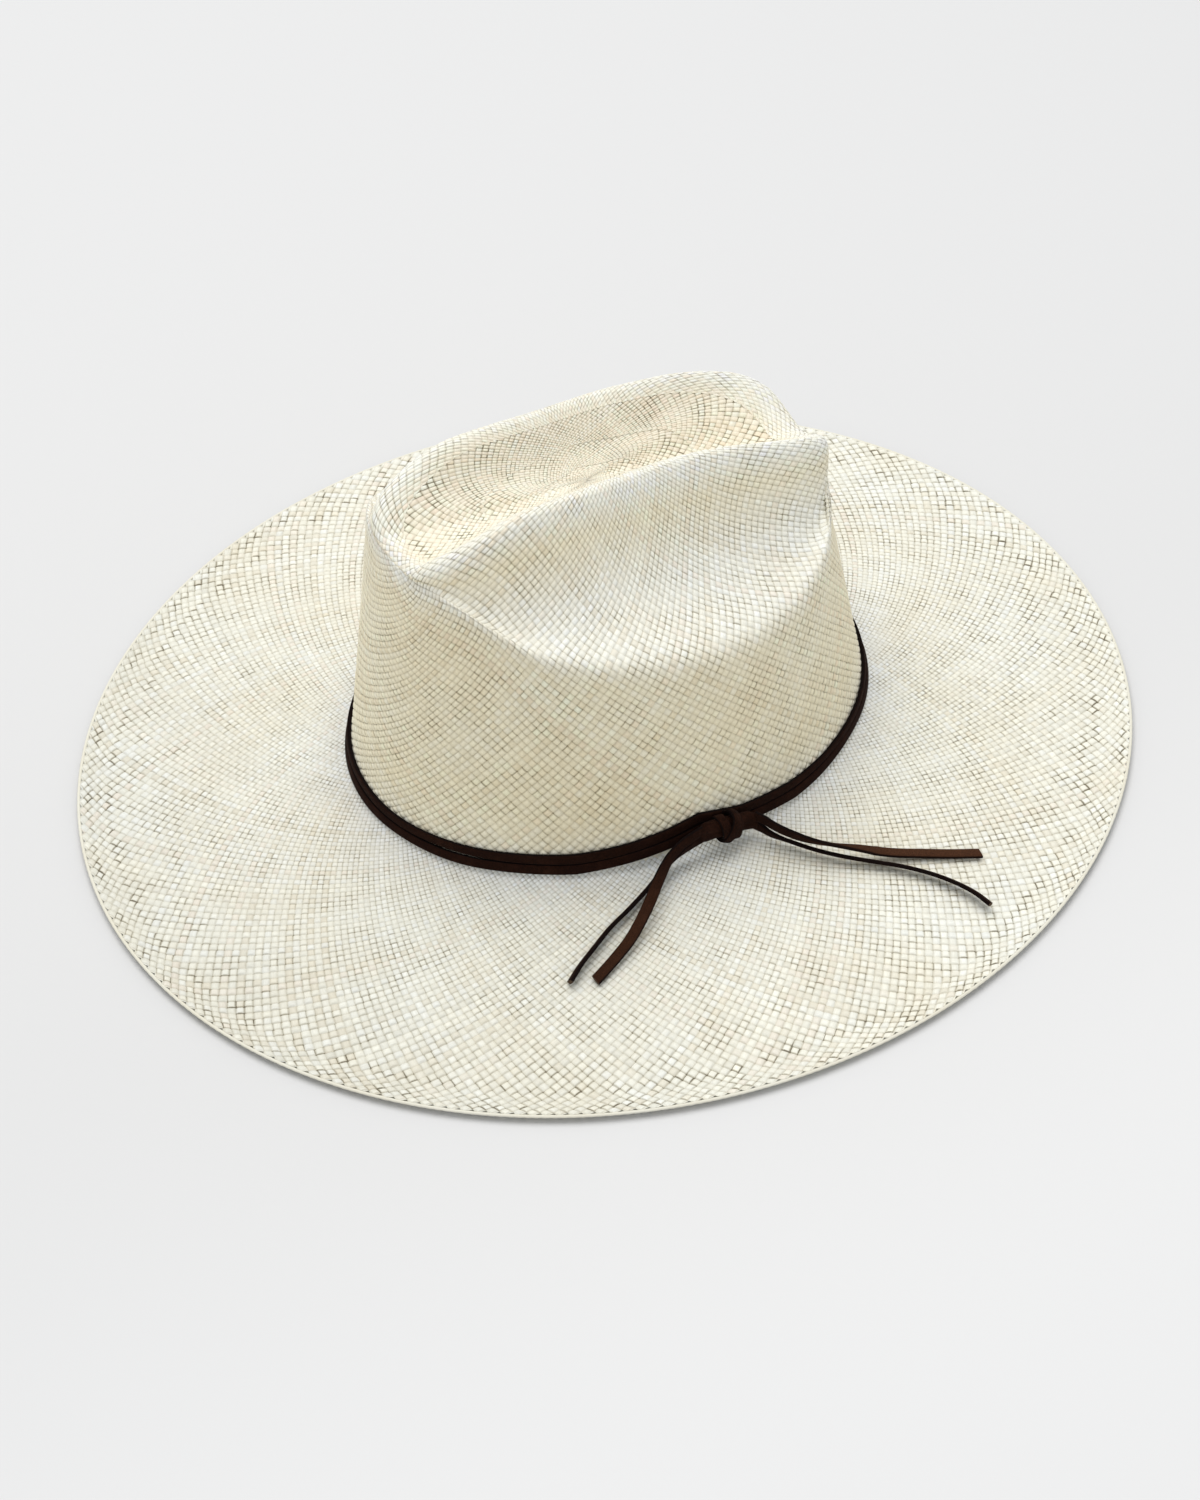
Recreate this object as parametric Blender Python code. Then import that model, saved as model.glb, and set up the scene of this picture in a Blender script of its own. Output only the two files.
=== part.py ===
"""Wide-brimmed woven straw hat with a doubled suede-lace hatband.

Units are metres. +X is the front of the hat, +Z is up, and the brim rests on z = 0.
The woven straw is one shell, crown and brim together. A sweatband is stitched inside the foot of
the crown. Two flat laces lie round the crown, are tied in one knot, and leave four loose tails.
"""
import math

import bmesh
import bpy
import numpy as np

# Woven straw shell
CROWN_HALF_LENGTH = 0.1045      # outside of the crown at its foot, centre to front
CROWN_HALF_WIDTH = 0.0840       # the same, centre to side
BRIM_HALF_LENGTH = 0.2103
BRIM_HALF_WIDTH = 0.1900
STRAW_THICKNESS = 0.0014
CROWN_FOOT_HEIGHT = 0.0165      # where the hatband's lower edge lies, above the resting plane
RIM_TOP_HEIGHT = 0.0036         # the rim turns up a little from the ring that the hat rests on
RESTING_FACE_ROWS = (0.85, 1.10)        # the flat face under the brim lies between these rows
RIM_EDGE_THICKNESS = 0.0013

# Top of the crown
# Half lengths of the ridge that runs round the tip: front, sides and back
RIM_LENGTHS = [0.0900, 0.0905, 0.0900, 0.0872]
RIM_SQUARENESS = 4.0
RIDGE_SHIFT = -0.0008
DENT_FLOOR_HEIGHT = 0.1310
SHOULDER_INSET = 0.0012
LOW_DISH_DEPTH = 0.0150         # how far the side dishes dip, near the shoulder
HIGH_DISH_DEPTH = 0.0160        # and near the ridge

# Sweatband
SWEATBAND_THICKNESS = 0.0008
SWEATBAND_BOTTOM = 0.0125
SWEATBAND_TOP = 0.0470
SWEATBAND_GAP = 0.0006
SWEATBAND_FOOT_HEIGHT = 0.0195  # height of the crown wall that the lower edge follows
THREAD_RADIUS = 0.00025
THREAD_HEIGHT = 0.0160
THREAD_SWING = 0.0009
THREAD_GAP = 0.0004
STITCHES = 80

# Suede laces
LACE_WIDTH = 0.0043
LACE_THICKNESS = 0.0016
LACE_GAP = 0.00035              # to the straw, and from one lace to the next
LOWER_LACE_BOTTOM = 0.0160
KNOT_LEFT_X = -0.0150
KNOT_RIGHT_X = 0.0044
KNOT_GAP = 0.00035

SEGMENTS = 64                   # facets round the hat
STATION_STEP = 0.5              # degrees between samples of a smoothed station curve
SMOOTHING_SAMPLES = 20          # samples each side that a station curve is smoothed over
WALL_ROWS = (5.5, 9.0)          # rows of the straw surface that the crown's upright wall spans
WALL_SAMPLES = 141
KNOT_SIDES = 14
TAIL_POINTS = 18
TURN = 2.0 * math.pi


# ---------------------------------------------------------------- straw surface

def around(phi, degrees, values):
    """Value at direction phi, from stations between the front (0) and the back (180), smoothed."""
    grid = np.arange(0.0, 180.0 + STATION_STEP, STATION_STEP)
    line = np.interp(grid, degrees, values)
    reach = SMOOTHING_SAMPLES
    kernel = np.exp(-np.linspace(-2.0, 2.0, 2 * reach + 1) ** 2)
    mirrored = np.concatenate([line[reach:0:-1], line, line[-2:-reach - 2:-1]])
    smooth = np.convolve(mirrored, kernel / kernel.sum(), "valid")
    from_front = np.degrees(np.abs((phi + math.pi) % TURN - math.pi))
    return np.interp(from_front, grid, smooth)


def squircle(phi, power):
    """Unit oval: a circle at power 2, squarer above."""
    c, s = np.cos(phi), np.sin(phi)
    r = (np.abs(c) ** power + np.abs(s) ** power) ** (-1.0 / power)
    return c * r, s * r


def ring(phi, half_length, half_width, height, power=2.0, shift=0.0):
    c, s = squircle(phi, power)
    return np.stack([shift + half_length * c, half_width * s, height + 0.0 * phi], -1)


def brim_rings(phi):
    """From the rim inwards: share of the brim's width, and height above the resting plane."""
    wide = BRIM_HALF_LENGTH - CROWN_HALF_LENGTH
    across = BRIM_HALF_WIDTH - CROWN_HALF_WIDTH
    section = [(1.0, RIM_TOP_HEIGHT), (0.90, 0.0002), (0.66, 0.0040), (0.36, 0.0080),
               (0.14, 0.0113), (0.05, 0.0130)]
    rings = [ring(phi, CROWN_HALF_LENGTH + wide * share, CROWN_HALF_WIDTH + across * share, height)
             for share, height in section]
    rings.append(ring(phi, CROWN_HALF_LENGTH + 0.0010, CROWN_HALF_WIDTH + 0.0010, 0.0137))
    return rings


def wall_ring(phi, rise, power=2.0, inset=0.0):
    """Crown wall at a rise above its foot; the wall leans in, most at the front."""
    lean = around(phi, [0, 30, 60, 90, 130, 160, 180], [.20, .19, .14, .10, .10, .12, .13])
    inward = lean * rise + inset
    return ring(phi, CROWN_HALF_LENGTH - inward, CROWN_HALF_WIDTH - inward,
                CROWN_FOOT_HEIGHT + rise, power)


def tip_outline(phi):
    """Half length, half width and height of the ridge round the tip."""
    ridge_rise = around(phi, [0, 20, 40, 63, 78, 100, 122, 140, 160, 180],
                        [.0930, .0980, .1085, .1230, .1285, .1315, .1345, .1255, .1155, .1135])
    half_width = around(phi, [0, 40, 70, 100, 140, 180],
                        [.0310, .0312, .0270, .0270, .0300, .0330])
    length = around(phi, [0, 60, 120, 180], RIM_LENGTHS)
    return length, half_width, CROWN_FOOT_HEIGHT + ridge_rise


def ridge_ring(phi, wider=0.0, higher=0.0):
    length, half_width, height = tip_outline(phi)
    return ring(phi, length + wider, half_width + wider, height + higher, RIM_SQUARENESS,
                RIDGE_SHIFT)


def wall_rings(phi, shoulder):
    """The crown's wall; near its back corners it runs straight up to the ridge."""
    foot = ring(phi, CROWN_HALF_LENGTH - 0.0006, CROWN_HALF_WIDTH - 0.0006,
                CROWN_FOOT_HEIGHT + 0.0040)
    walls = [wall_ring(phi, 0.020 + 0.0 * phi),
             wall_ring(phi, 0.5 * shoulder),
             wall_ring(phi, shoulder - 0.011),
             wall_ring(phi, shoulder, 2.2, SHOULDER_INSET)]
    edge = ridge_ring(phi, 0.0010, -0.0020)
    straight = around(phi, [0, 138, 152, 162, 180], [0, 0, .40, .50, .20])
    for wall in walls:
        share = (wall[:, 2] - foot[:, 2]) / (edge[:, 2] - foot[:, 2])
        line = foot[:, :2] + share[:, None] * (edge - foot)[:, :2]
        wall[:, :2] += straight[:, None] * (line - wall[:, :2])
    return [foot] + walls


def tip_rings(phi, shoulder_ring):
    """Side dishes, the ridge round the tip, and the long dent down its middle."""
    _, half_width, height = tip_outline(phi)
    ridge = ridge_ring(phi)
    dish = around(phi, [0, 14, 28, 45, 75, 100, 120, 135, 150, 165, 180],
                  [0, .1, .6, 1, 1, .95, .90, .75, .15, 0, 0])
    low_dip = np.stack([0 * phi, 0 * phi, LOW_DISH_DEPTH * dish], -1)
    high_dip = np.stack([0 * phi, 0 * phi, HIGH_DISH_DEPTH * dish], -1)
    end = around(phi, [0, 30, 55, 125, 150, 180], [1, 1, 0, 0, 1, 1])
    floor = DENT_FLOOR_HEIGHT
    rise = height - floor
    return [0.60 * shoulder_ring + 0.40 * ridge - low_dip,
            0.24 * shoulder_ring + 0.76 * ridge - high_dip,
            ridge_ring(phi, 0.0010, -0.0020),
            ridge_ring(phi, -0.0027, 0.0026),
            ring(phi, 0.078, half_width - 0.0080, floor + (0.90 - 0.05 * end) * rise, 3.0, -0.004),
            ring(phi, 0.064, half_width - 0.0125, floor + (0.50 + 0.20 * end) * rise, 3.0, -0.004),
            ring(phi, 0.043, 0.0095, floor + (0.16 + 0.29 * end) * rise, 3.0, -0.006),
            ring(phi, 0.020, 0.0045, floor + (0.03 + 0.12 * end) * rise, 3.0, -0.007),
            ring(phi, 0.0, 0.0, floor, 3.0, -0.0075)]


def straw_rings(phi):
    """Control rings of the straw's outer surface, from the rim of the brim to the tip's middle."""
    shoulder = around(phi, [0, 18, 30, 42, 55, 70, 90, 110, 122, 132, 140, 147, 152, 160, 180],
                      [.092, .093, .092, .087, .082, .081, .084, .089, .0935, .0990, .1065, .1130,
                       .1150, .1135, .1110])
    walls = wall_rings(phi, shoulder)
    return np.array(brim_rings(phi) + walls + tip_rings(phi, walls[-1]))


def straw_surface(phi, rows):
    """Outer surface: a cubic B-spline through the control rings, at each row and direction."""
    rings = straw_rings(phi)
    last = len(rings) - 1
    control = np.concatenate([2 * rings[:1] - rings[1:2], rings, 2 * rings[-1:] - rings[-2:-1]])
    rows = np.asarray(rows, float)
    base = np.clip(rows.astype(int), 0, last - 1)
    f = (rows - base)[:, None, None]
    return ((1 - f) ** 3 * control[base]
            + (3 * f ** 3 - 6 * f ** 2 + 4) * control[base + 1]
            + (-3 * f ** 3 + 3 * f ** 2 + 3 * f + 1) * control[base + 2]
            + f ** 3 * control[base + 3]) / 6.0


def straw_inside(phi, rows):
    """The same rows on the shell's inner face, one straw thickness in."""
    step = 1e-4
    outer = straw_surface(phi, rows)
    along = straw_surface(phi + step, rows) - straw_surface(phi - step, rows)
    last = len(straw_rings(phi)) - 1
    up = straw_surface(phi, np.minimum(rows + step, last))
    up = up - straw_surface(phi, np.maximum(rows - step, 0.0))
    normal = np.cross(along, up)
    normal /= np.linalg.norm(normal, axis=-1, keepdims=True) + 1e-15
    return outer - STRAW_THICKNESS * normal


def facet_directions():
    return np.linspace(-math.pi, math.pi, SEGMENTS, endpoint=False)


def wall_offset_point(phi, height, out):
    """Point on the faceted crown wall at a height, moved out by a distance."""
    step = TURN / SEGMENTS
    low = math.floor((phi + math.pi) / step) * step - math.pi
    share = (phi - low) / step
    corners = []
    for corner in (low, low + step):
        rows = np.linspace(*WALL_ROWS, WALL_SAMPLES)
        line = straw_surface(np.array([corner]), rows)[:, 0]
        x = np.interp(height, line[:, 2], line[:, 0])
        y = np.interp(height, line[:, 2], line[:, 1])
        outward = np.array([math.cos(corner) / CROWN_HALF_LENGTH,
                            math.sin(corner) / CROWN_HALF_WIDTH])
        outward /= np.linalg.norm(outward)
        corners.append(np.array([x, y]) + out * outward)
    x, y = (1.0 - share) * corners[0] + share * corners[1]
    return np.array([x, y, height])


# ---------------------------------------------------------------- Blender helpers

def clear_scene():
    for old in list(bpy.data.objects):
        bpy.data.objects.remove(old)


def make_material(name, colour, roughness, metallic=0.0):
    material = bpy.data.materials.new(name)
    material.use_nodes = True
    shader = material.node_tree.nodes["Principled BSDF"]
    shader.inputs["Base Color"].default_value = (*colour, 1.0)
    shader.inputs["Roughness"].default_value = roughness
    shader.inputs["Metallic"].default_value = metallic
    material.diffuse_color = (*colour, 1.0)
    return material


def add_mesh(name, points, faces, material, parent=None):
    mesh = bpy.data.meshes.new(name)
    mesh.from_pydata([tuple(p) for p in points], [], faces)
    shape = bmesh.new()
    shape.from_mesh(mesh)
    bmesh.ops.recalc_face_normals(shape, faces=shape.faces)
    shape.to_mesh(mesh)
    shape.free()
    mesh.shade_smooth()
    mesh.set_sharp_from_angle(angle=math.radians(50.0))
    return add_object(name, mesh, material, parent)


def add_object(name, data, material, parent=None):
    data.materials.append(material)
    obj = bpy.data.objects.new(name, data)
    bpy.context.scene.collection.objects.link(obj)
    if parent is not None:
        obj.parent = parent
        obj.matrix_parent_inverse = parent.matrix_basis.inverted()
    return obj


def add_empty(name, place, parent=None):
    empty = bpy.data.objects.new(name, None)
    empty.location = place
    bpy.context.scene.collection.objects.link(empty)
    if parent is not None:
        empty.parent = parent
        empty.matrix_parent_inverse = parent.matrix_basis.inverted()
    return empty


def grid_faces(rows, columns, closed_rows=False, closed_columns=False):
    """Quads of a grid of rows x columns points, numbered row by row."""
    faces = []
    for r in range(rows if closed_rows else rows - 1):
        for c in range(columns if closed_columns else columns - 1):
            r2, c2 = (r + 1) % rows, (c + 1) % columns
            faces.append((r * columns + c, r * columns + c2, r2 * columns + c2, r2 * columns + c))
    return faces


def smooth_route(route, count):
    """Evenly spaced points on a Catmull-Rom curve through the route's points."""
    points = np.array(route, float)
    points = np.concatenate([2 * points[:1] - points[1:2], points, 2 * points[-1:] - points[-2:-1]])
    fine = []
    for a, b, c, d in zip(points, points[1:], points[2:], points[3:]):
        for t in np.linspace(0.0, 1.0, 24, endpoint=False):
            fine.append(0.5 * (2 * b + (c - a) * t + (2 * a - 5 * b + 4 * c - d) * t ** 2
                               + (3 * b - a - 3 * c + d) * t ** 3))
    fine.append(points[-2])
    fine = np.array(fine)
    length = np.concatenate([[0.0], np.cumsum(np.linalg.norm(np.diff(fine, axis=0), axis=1))])
    even = np.linspace(0.0, length[-1], count)
    return np.stack([np.interp(even, length, fine[:, k]) for k in range(3)], -1)


# ---------------------------------------------------------------- sub-parts

def make_straw_body(material):
    """Crown and brim: one woven shell, with a narrow flat ring under the brim to rest on."""
    rows = np.array([0, 0.45, *RESTING_FACE_ROWS, 1.5, 2, 3, 4, 5, 6, 6.5, 7, 8, 9, 10, 10.5, 11, 11.5,
                     12, 13, 13.5, 14, 14.5, 15, 15.5, 16, 17, 18, 19, 20], float)
    phi = facet_directions()
    outer = straw_surface(phi, rows)
    inner = straw_inside(phi, rows)
    inner[0] = outer[0] - np.array([0, 0, RIM_EDGE_THICKNESS])
    inner[2:4, :, 2] = 0.0
    inner[-1] = outer[-1] - np.array([0, 0, STRAW_THICKNESS])
    last = len(rows) - 1
    points = [p for row in outer[:last] for p in row]
    outer_pole = len(points)
    points.append(outer[last, 0])
    inner_start = len(points)
    points += [p for row in inner[:last] for p in row]
    inner_pole = len(points)
    points.append(inner[last, 0])
    faces = list(grid_faces(last, SEGMENTS, closed_columns=True))
    faces += [tuple(inner_start + i for i in face) for face in list(faces)]
    for c in range(SEGMENTS):
        c2 = (c + 1) % SEGMENTS
        top = (last - 1) * SEGMENTS
        faces.append((top + c, top + c2, outer_pole))
        faces.append((inner_start + top + c2, inner_start + top + c, inner_pole))
        faces.append((c2, c, inner_start + c, inner_start + c2))
    return add_mesh("straw_body", points, faces, material)


def sweatband_point(phi, height, inset):
    """Point on the sweatband, which stands straight from its lower edge to its upper one."""
    out = -STRAW_THICKNESS - SWEATBAND_GAP - inset
    low = wall_offset_point(phi, SWEATBAND_FOOT_HEIGHT, out)
    high = wall_offset_point(phi, SWEATBAND_TOP, out)
    share = (height - SWEATBAND_BOTTOM) / (SWEATBAND_TOP - SWEATBAND_BOTTOM)
    point = (1.0 - share) * low + share * high
    return (point[0], point[1], height)


def make_sweatband(material):
    """Strip of leather standing inside the foot of the crown."""
    section = ((SWEATBAND_BOTTOM, 0.0), (SWEATBAND_TOP, 0.0),
               (SWEATBAND_TOP, SWEATBAND_THICKNESS), (SWEATBAND_BOTTOM, SWEATBAND_THICKNESS))
    points = [sweatband_point(phi, height, inset)
              for height, inset in section for phi in facet_directions()]
    return add_mesh("sweatband", points, grid_faces(4, SEGMENTS, True, True), material)


def make_stitching(material):
    """One continuous thread that swings up and down along the sweatband's lower edge."""
    curve = bpy.data.curves.new("sweatband_stitching", "CURVE")
    curve.dimensions = "3D"
    curve.bevel_depth = THREAD_RADIUS
    curve.bevel_resolution = 0
    spline = curve.splines.new("POLY")
    count = 2 * STITCHES
    spline.points.add(count - 1)
    for k in range(count):
        phi = -math.pi + TURN * k / count
        height = THREAD_HEIGHT + (THREAD_SWING if k % 2 else -THREAD_SWING)
        place = sweatband_point(phi, height, SWEATBAND_THICKNESS + THREAD_RADIUS + THREAD_GAP)
        spline.points[k].co = (*place, 1.0)
    spline.use_cyclic_u = True
    return add_object("sweatband_stitching", curve, material)


def lace_rise(phi):
    """The laces climb the crown as they come up to the knot, which sits near 267 degrees."""
    return np.interp(math.degrees(phi) % 360.0, [235.0, 255.0, 262.0, 272.0, 286.0],
                     [0.0, 0.0042, 0.0070, 0.0028, 0.0])


def make_lace(name, bottom, material, parent):
    """One flat lace standing on edge round the crown, from one end of the knot to the other."""
    start = math.asin((KNOT_RIGHT_X + KNOT_GAP) / CROWN_HALF_LENGTH) - math.pi / 2
    end = math.asin((KNOT_LEFT_X - KNOT_GAP) / CROWN_HALF_LENGTH) - math.pi / 2 + TURN
    stations = [start] + [d for d in np.concatenate([facet_directions(), facet_directions() + TURN])
                          if start + 0.01 < d < end - 0.01] + [end]
    points = []
    for phi in stations:
        low = bottom + lace_rise(phi)
        foot = wall_offset_point(phi, low, LACE_GAP)
        head = wall_offset_point(phi, low + LACE_WIDTH, LACE_GAP)
        outward = np.array([math.cos(phi) / CROWN_HALF_LENGTH, math.sin(phi) / CROWN_HALF_WIDTH, 0])
        outward /= np.linalg.norm(outward)
        thick = LACE_THICKNESS * outward
        points += [foot, foot + thick, head + thick, head]
    faces = grid_faces(len(stations), 4, closed_columns=True)
    tail = len(points) - 4
    faces += [(0, 1, 2, 3), (tail, tail + 1, tail + 2, tail + 3)]
    return add_mesh(name, points, faces, material, parent)


def make_knot(material, parent):
    """The laces' knot: a short wrapped bundle lying against the crown wall."""
    # place along X, centre Y, centre Z, half depth, half height
    section = [(KNOT_LEFT_X, -.0876, .0273, .0020, .0049),
               (-.0110, -.0879, .0268, .0027, .0052),
               (-.0085, -.0883, .0260, .0033, .0060),
               (-.0025, -.0885, .0246, .0034, .0062),
               (.0000, -.0882, .0238, .0028, .0052),
               (KNOT_RIGHT_X, -.0878, .0223, .0021, .0049)]
    c, s = squircle(TURN * np.arange(KNOT_SIDES) / KNOT_SIDES, 2.6)
    points = [(x, y + depth * c[k], z + height * s[k])
              for x, y, z, depth, height in section for k in range(KNOT_SIDES)]
    faces = grid_faces(len(section), KNOT_SIDES, closed_columns=True)
    faces.append(tuple(range(KNOT_SIDES)))
    end = (len(section) - 1) * KNOT_SIDES
    faces.append(tuple(end + k for k in range(KNOT_SIDES)))
    return add_mesh("knot", points, faces, material, parent)


def make_tail(name, route, turns, material, parent):
    """A loose lace tail: a flat strip along its route, turned from on edge (0) to flat (90)."""
    points = smooth_route(route, TAIL_POINTS)
    curve = bpy.data.curves.new(name, "CURVE")
    curve.dimensions = "3D"
    curve.twist_mode = "Z_UP"
    curve.bevel_depth = LACE_THICKNESS / 2
    curve.bevel_resolution = 1
    curve.extrude = (LACE_WIDTH - LACE_THICKNESS) / 2
    curve.use_fill_caps = True
    spline = curve.splines.new("POLY")
    spline.points.add(len(points) - 1)
    places = np.linspace(0.0, 1.0, len(points))
    tilts = np.interp(places, [t for t, _ in turns], [math.radians(a) for _, a in turns])
    for target, place, tilt in zip(spline.points, points, tilts):
        target.co = (*place, 1.0)
        target.tilt = tilt
    return add_object(name, curve, material, parent)


LEFT_FLAT_ROUTE = [(-.0162, -.0881, .0287), (-.0205, -.0881, .0279), (-.0262, -.0882, .0262),
                   (-.0325, -.0898, .0240), (-.0405, -.0945, .0210), (-.0470, -.0990, .0182),
                   (-.0538, -.1030, .0153), (-.0606, -.1065, .0130), (-.0679, -.1091, .0110),
                   (-.0744, -.1112, .0096), (-.0796, -.1128, .0087)]
LEFT_EDGE_ROUTE = [(-.0162, -.0871, .0237), (-.0200, -.0868, .0224), (-.0250, -.0866, .0204),
                   (-.0300, -.0870, .0185), (-.0360, -.0884, .0166), (-.0430, -.0908, .0149),
                   (-.0530, -.0942, .0137), (-.0630, -.0972, .0126), (-.0720, -.1010, .0115),
                   (-.0810, -.1050, .0104), (-.0880, -.1090, .0095)]
RIGHT_FLAT_ROUTE = [(.0060, -.0893, .0249), (.0082, -.0926, .0240), (.0105, -.0968, .0226),
                    (.0140, -.1015, .0210), (.0185, -.1064, .0194), (.0250, -.1118, .0178),
                    (.0340, -.1170, .0151), (.0400, -.1198, .0126), (.0470, -.1230, .0103),
                    (.0560, -.1272, .0084), (.0660, -.1325, .0070), (.0755, -.1374, .0060)]
RIGHT_EDGE_ROUTE = [(.0060, -.0886, .0200), (.0082, -.0913, .0185), (.0106, -.0950, .0168),
                    (.0152, -.1006, .0152), (.0210, -.1074, .0136), (.0280, -.1144, .0122),
                    (.0365, -.1216, .0107), (.0450, -.1288, .0094), (.0525, -.1370, .0082),
                    (.0580, -.1454, .0072), (.0613, -.1530, .0064), (.0626, -.1600, .0059)]
LEFT_PIVOT = (-.0152, -.0876, .0318)
RIGHT_PIVOT = (.0046, -.0887, .0275)


def build_hat():
    clear_scene()
    straw = make_material("straw", (0.80, 0.74, 0.58), 0.55)
    leather = make_material("sweatband_leather", (0.42, 0.30, 0.19), 0.60)
    thread = make_material("thread", (0.75, 0.70, 0.58), 0.70)
    suede = make_material("suede", (0.040, 0.018, 0.011), 0.85)
    make_straw_body(straw)
    make_sweatband(leather)
    make_stitching(thread)
    band = add_empty("hatband_lift_axis", (0.0, 0.0, CROWN_FOOT_HEIGHT))
    left = add_empty("left_tails_pivot", LEFT_PIVOT, band)
    right = add_empty("right_tails_pivot", RIGHT_PIVOT, band)
    make_lace("lower_lace", LOWER_LACE_BOTTOM, suede, band)
    make_lace("upper_lace", LOWER_LACE_BOTTOM + LACE_WIDTH + LACE_GAP, suede, band)
    make_knot(suede, band)
    flat_turn = [(0.0, 0.0), (0.20, 15.0), (0.55, 90.0), (1.0, 90.0)]
    left_edge_turn = [(0.0, 0.0), (0.15, -32.0), (1.0, -32.0)]
    right_edge_turn = [(0.0, 0.0), (0.15, 44.0), (1.0, 44.0)]
    make_tail("left_flat_tail", LEFT_FLAT_ROUTE, flat_turn, suede, left)
    make_tail("left_edge_tail", LEFT_EDGE_ROUTE, left_edge_turn, suede, left)
    make_tail("right_flat_tail", RIGHT_FLAT_ROUTE, flat_turn, suede, right)
    make_tail("right_edge_tail", RIGHT_EDGE_ROUTE, right_edge_turn, suede, right)


build_hat()
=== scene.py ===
"""Looks of the woven straw hat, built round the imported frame.

Metres, +X to the front of the hat, +Z up. The straw's outer surface repeats the formula that the CAD
source uses. The weave is real relief: two families of straws run at plus and minus 45 degrees as
spirals round the hat, and more straws join in at rings as the hat widens. Each mesh face lies in one
crossing of the weave, and its attributes say which straw is on top there.
"""
import math

import bpy
import numpy as np
from mathutils import Matrix, Vector


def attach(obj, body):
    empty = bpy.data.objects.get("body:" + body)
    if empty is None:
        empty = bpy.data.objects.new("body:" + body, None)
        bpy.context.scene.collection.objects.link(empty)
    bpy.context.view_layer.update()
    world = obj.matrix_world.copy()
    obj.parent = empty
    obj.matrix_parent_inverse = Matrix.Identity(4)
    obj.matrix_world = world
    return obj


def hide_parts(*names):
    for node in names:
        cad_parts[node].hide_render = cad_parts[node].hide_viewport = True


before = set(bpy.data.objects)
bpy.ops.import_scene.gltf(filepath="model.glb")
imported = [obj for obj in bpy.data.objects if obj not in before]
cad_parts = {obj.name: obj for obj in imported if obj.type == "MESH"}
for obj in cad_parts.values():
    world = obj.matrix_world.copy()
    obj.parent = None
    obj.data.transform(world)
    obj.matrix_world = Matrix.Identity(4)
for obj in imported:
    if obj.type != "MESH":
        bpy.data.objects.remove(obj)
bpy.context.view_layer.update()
rng = np.random.default_rng(7)
TURN = 2.0 * math.pi

# ---------------------------------------------------------------- sizes, as in the CAD source

CROWN_HALF_LENGTH = 0.1045
CROWN_HALF_WIDTH = 0.0840
BRIM_HALF_LENGTH = 0.2103
BRIM_HALF_WIDTH = 0.1900
CROWN_FOOT_HEIGHT = 0.0165
RIM_TOP_HEIGHT = 0.0036
RIM_LENGTHS = [0.0900, 0.0905, 0.0900, 0.0872]     # front, sides and back of the tip's ridge
RIM_SQUARENESS = 4.0
RIDGE_SHIFT = -0.0008
DENT_FLOOR_HEIGHT = 0.1310
SHOULDER_INSET = 0.0012
LOW_DISH_DEPTH = 0.0150         # how far the side dishes dip, near the shoulder
HIGH_DISH_DEPTH = 0.0160        # and near the ridge
LACE_WIDTH = 0.0043
LACE_THICKNESS = 0.0016
LACE_GAP = 0.00035
LOWER_LACE_BOTTOM = 0.0160
KNOT_LEFT_X = -0.0150
KNOT_RIGHT_X = 0.0044
SWEATBAND_BOTTOM = 0.0125
SWEATBAND_TOP = 0.0470
SWEATBAND_FOOT_HEIGHT = 0.0195
SWEATBAND_INSET = 0.0021        # from the straw's outer surface to the sweatband's outer face
SWEATBAND_THICKNESS = 0.0008
STITCH_HEIGHT = 0.0160
STITCH_SWING = 0.0009
STITCH_RADIUS = 0.00025
STITCH_OUT = 0.0004             # from the sweatband's inner face to the middle of the thread
STITCHES = 80

# Tail routes, from the knot to the bare end
LEFT_FLAT_ROUTE = [(-.0162, -.0881, .0287), (-.0205, -.0881, .0279), (-.0262, -.0882, .0262),
                   (-.0325, -.0898, .0240), (-.0405, -.0945, .0210), (-.0470, -.0990, .0182),
                   (-.0538, -.1030, .0153), (-.0606, -.1065, .0130), (-.0679, -.1091, .0110),
                   (-.0744, -.1112, .0096), (-.0796, -.1128, .0087)]
LEFT_EDGE_ROUTE = [(-.0162, -.0871, .0237), (-.0200, -.0868, .0224), (-.0250, -.0866, .0204),
                   (-.0300, -.0870, .0185), (-.0360, -.0884, .0166), (-.0430, -.0908, .0149),
                   (-.0530, -.0942, .0137), (-.0630, -.0972, .0126), (-.0720, -.1010, .0115),
                   (-.0810, -.1050, .0104), (-.0880, -.1090, .0095)]
RIGHT_FLAT_ROUTE = [(.0060, -.0893, .0249), (.0082, -.0926, .0240), (.0105, -.0968, .0226),
                    (.0140, -.1015, .0210), (.0185, -.1064, .0194), (.0250, -.1118, .0178),
                    (.0340, -.1170, .0151), (.0400, -.1198, .0126), (.0470, -.1230, .0103),
                    (.0560, -.1272, .0084), (.0660, -.1325, .0070), (.0755, -.1374, .0060)]
RIGHT_EDGE_ROUTE = [(.0060, -.0886, .0200), (.0082, -.0913, .0185), (.0106, -.0950, .0168),
                    (.0152, -.1006, .0152), (.0210, -.1074, .0136), (.0280, -.1144, .0122),
                    (.0365, -.1216, .0107), (.0450, -.1288, .0094), (.0525, -.1370, .0082),
                    (.0580, -.1454, .0072), (.0613, -.1530, .0064), (.0626, -.1600, .0059)]


# ---------------------------------------------------------------- camera

CAMERA_ELEVATION = 43.2         # degrees above the floor
CAMERA_YAW = 32.5               # degrees behind the hat's right side
CAMERA_ROLL = -0.98
CAMERA_DISTANCE = 1.283
CAMERA_TARGET = (0.0, 0.0, 0.0175)
CAMERA_LENS = 79.56
CAMERA_SHIFT = (-0.006, -0.034)


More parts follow.
